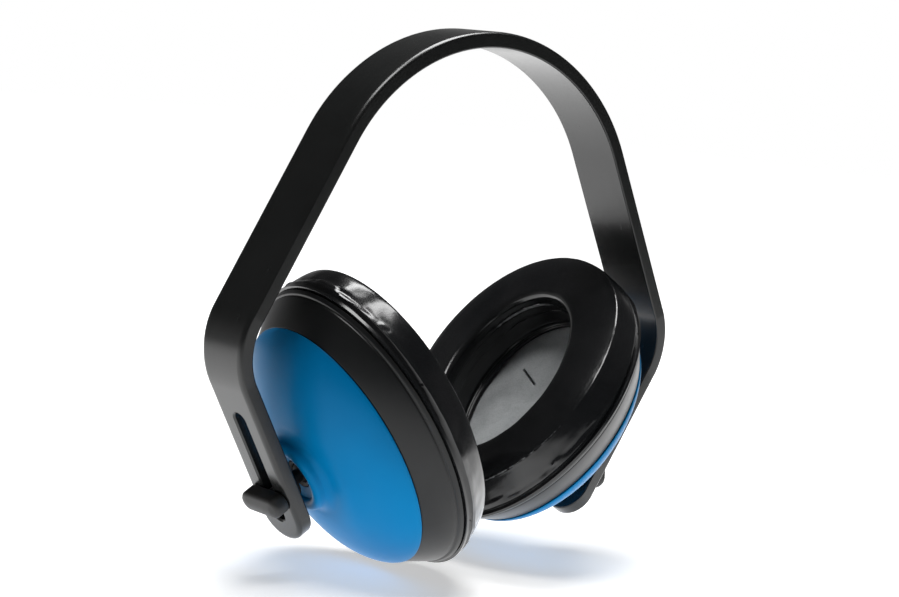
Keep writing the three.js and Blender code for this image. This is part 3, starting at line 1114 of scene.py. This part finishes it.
def ray_kinds(tree):
    """The camera's rays, and those that metal, gloss and glass send on."""
    path = node(tree, "ShaderNodeLightPath")
    mirrored = node(tree, "ShaderNodeMath", operation="MAXIMUM")
    tree.links.new(path.outputs["Is Glossy Ray"], mirrored.inputs[0])
    tree.links.new(path.outputs["Is Transmission Ray"], mirrored.inputs[1])
    return path.outputs["Is Camera Ray"], mirrored.outputs[0]


def along_bright_side(tree, vector):
    towards = node(tree, "ShaderNodeVectorMath", operation="DOT_PRODUCT")
    towards.inputs[1].default_value = bright_side
    tree.links.new(vector, towards.inputs[0])
    return towards.outputs["Value"]


def floor():
    """White paper: near the object it takes shadows, and further out it fades into white."""
    z = lowest - floor_gap
    corners = ((-1, -1), (1, -1), (1, 1), (-1, 1))
    verts = [(x * floor_half, y * floor_half, z) for x, y in corners]
    obj = new_object("floor", verts, [(0, 1, 2, 3)])
    material, tree, shader, coordinates = start_material("floor_paper")
    clouds = noise_node(tree, coordinates, 3, 3)
    colour = ramp_node(tree, clouds, (0.84, 0.84, 0.84), (0.88, 0.88, 0.88))
    tree.links.new(colour, shader.inputs["Base Color"])
    shader.inputs["Roughness"].default_value = 0.9
    shader.inputs["Specular IOR Level"].default_value = 0.1
    camera_ray, mirrored_ray = ray_kinds(tree)
    away = node(tree, "ShaderNodeVectorMath", operation="LENGTH")
    tree.links.new(coordinates, away.inputs[0])
    seen = smooth_range(tree, away.outputs["Value"], *floor_fade, floor_glow, 1.0)
    behind = smooth_range(tree, along_bright_side(tree, coordinates), *floor_sides)
    near = smooth_range(tree, away.outputs["Value"], *mirrored_fade, mirrored_glow, mirrored_far)
    glow = node(tree, "ShaderNodeEmission")
    strength = node(tree, "ShaderNodeMath", operation="ADD")
    tree.links.new(times(tree, seen, camera_ray), strength.inputs[0])
    tree.links.new(times(tree, times(tree, near, behind), mirrored_ray), strength.inputs[1])
    tree.links.new(strength.outputs[0], glow.inputs["Strength"])
    add = node(tree, "ShaderNodeAddShader")
    tree.links.new(shader.outputs["BSDF"], add.inputs[0])
    tree.links.new(glow.outputs["Emission"], add.inputs[1])
    tree.links.new(add.outputs["Shader"], tree.nodes["Material Output"].inputs["Surface"])
    obj.data.materials.append(material)


def area_light(name, position, target, size, energy):
    light = bpy.data.lights.new(name, "AREA")
    light.shape = "RECTANGLE"
    light.size, light.size_y = size
    light.energy = energy
    obj = bpy.data.objects.new(name, light)
    scene.collection.objects.link(obj)
    obj.location = position
    obj.rotation_euler = (target - Vector(position)).to_track_quat("-Z", "Y").to_euler()
    obj.visible_camera = False
    return obj


def studio_world():
    """White to the camera; as a light, and in gloss, brightest low down behind the object."""
    world = bpy.data.worlds.new("studio")
    scene.world = world
    world.use_nodes = True
    tree = world.node_tree
    background = tree.nodes["Background"]
    direction = node(tree, "ShaderNodeTexCoord").outputs["Generated"]
    split = node(tree, "ShaderNodeSeparateXYZ")
    tree.links.new(direction, split.inputs["Vector"])
    low = smooth_range(tree, split.outputs["Z"], *horizon_heights, 1.0, 0.0)
    side = smooth_range(tree, along_bright_side(tree, direction), *horizon_sides)
    lit = times(tree, low, side)
    camera_ray, mirrored_ray = ray_kinds(tree)
    level = node(tree, "ShaderNodeMix")
    tree.links.new(mirrored_ray, level.inputs["Factor"])
    level.inputs["A"].default_value = horizon_level
    level.inputs["B"].default_value = mirrored_horizon
    dim = node(tree, "ShaderNodeMath", operation="MULTIPLY_ADD")
    tree.links.new(lit, dim.inputs[0])
    tree.links.new(level.outputs["Result"], dim.inputs[1])
    dim.inputs[2].default_value = dim_level
    strength = node(tree, "ShaderNodeMix")
    tree.links.new(camera_ray, strength.inputs["Factor"])
    tree.links.new(dim.outputs[0], strength.inputs["A"])
    strength.inputs["B"].default_value = 1.0
    tree.links.new(strength.outputs["Result"], background.inputs["Strength"])
    background.inputs["Color"].default_value = (1, 1, 1, 1)


floor()
studio_world()
area_light("overhead", overhead_place, middle, overhead_size, overhead_power)
area_light("overhead_left", left_place, middle, left_size, left_power)
table_z = lowest - floor_gap + clearance
table = area_light("table", (*table_place, table_z), Vector((*table_place, 1)), table_size, table_power)
table.visible_glossy = False


def photo_camera():
    back = Vector(
        (
            -math.sin(view_azimuth) * math.cos(view_elevation),
            -math.cos(view_azimuth) * math.cos(view_elevation),
            math.sin(view_elevation),
        )
    )
    level = Vector((math.cos(view_azimuth), -math.sin(view_azimuth), 0))
    upright = back.cross(level)
    right = level * math.cos(view_roll) + upright * math.sin(view_roll)
    up = upright * math.cos(view_roll) - level * math.sin(view_roll)
    camera = bpy.data.cameras.new("photo_camera")
    camera.lens = focal_length
    camera.sensor_width = 36
    camera.clip_start = 0.01
    obj = bpy.data.objects.new("photo_camera", camera)
    scene.collection.objects.link(obj)
    obj.matrix_world = Matrix(
        (
            (right.x, up.x, back.x, camera_place.x),
            (right.y, up.y, back.y, camera_place.y),
            (right.z, up.z, back.z, camera_place.z),
            (0, 0, 0, 1),
        )
    )
    scene.camera = obj


photo_camera()
